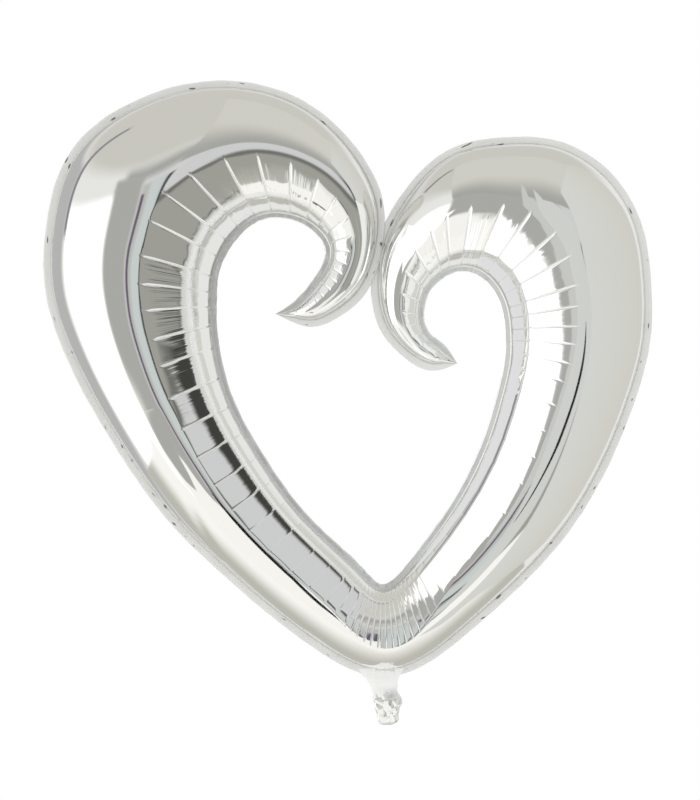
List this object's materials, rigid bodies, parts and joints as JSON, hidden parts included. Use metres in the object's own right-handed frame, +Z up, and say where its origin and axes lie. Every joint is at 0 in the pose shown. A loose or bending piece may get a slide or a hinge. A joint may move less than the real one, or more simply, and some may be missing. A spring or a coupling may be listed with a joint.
{
  "type": "foil balloon",
  "caption": "Open heart-shaped foil balloon made of one curled inflated tube with hooked lobes, a folding filling tail and a self-sealing valve.",
  "frame": {"origin": "the neck, on the weld plane, where the balloon is tied and its tail folds", "axes": "+Z up from the neck to the lobes, +X to the right seen from the front, the front faces -Y; the weld is the plane Y = 0"},
  "size_m": [0.913, 0.2486, 0.9655],
  "materials": {
    "foil": "mirror-bright silver metallised film with fine pleats",
    "tail_foil": "crumpled silver metallised film",
    "valve_film": "thin clear polyethylene film"
  },
  "bodies": {
    "envelope": {"front_panel": "foil", "rear_panel": "foil"},
    "tail": {"tail_front_film": "tail_foil", "tail_rear_film": "tail_foil", "valve_channel_front": "valve_film", "valve_channel_rear": "valve_film"},
    "valve_lip_front": {"valve_lip_front": "valve_film"},
    "valve_lip_rear": {"valve_lip_rear": "valve_film"}
  },
  "joints": [
    {"name": "tail_fold", "type": "hinge", "parent": "envelope", "child": "tail", "pos_m": [0, 0, 0], "axis": [1, 0, 0], "range_deg": [-100, 100]},
    {"name": "valve_lip_front_open", "type": "hinge", "parent": "envelope", "child": "valve_lip_front", "pos_m": [0, -0.0005, 0.005], "axis": [1, 0, 0], "range_deg": [0, 8], "stiffness_Nm_per_rad": 0.001},
    {"name": "valve_lip_rear_open", "type": "hinge", "parent": "envelope", "child": "valve_lip_rear", "pos_m": [0, 0.0005, 0.005], "axis": [1, 0, 0], "range_deg": [-8, 0], "stiffness_Nm_per_rad": 0.001}
  ],
  "couplings": [
    {"joint": "valve_lip_rear_open", "follows": "valve_lip_front_open", "ratio": -1}
  ]
}
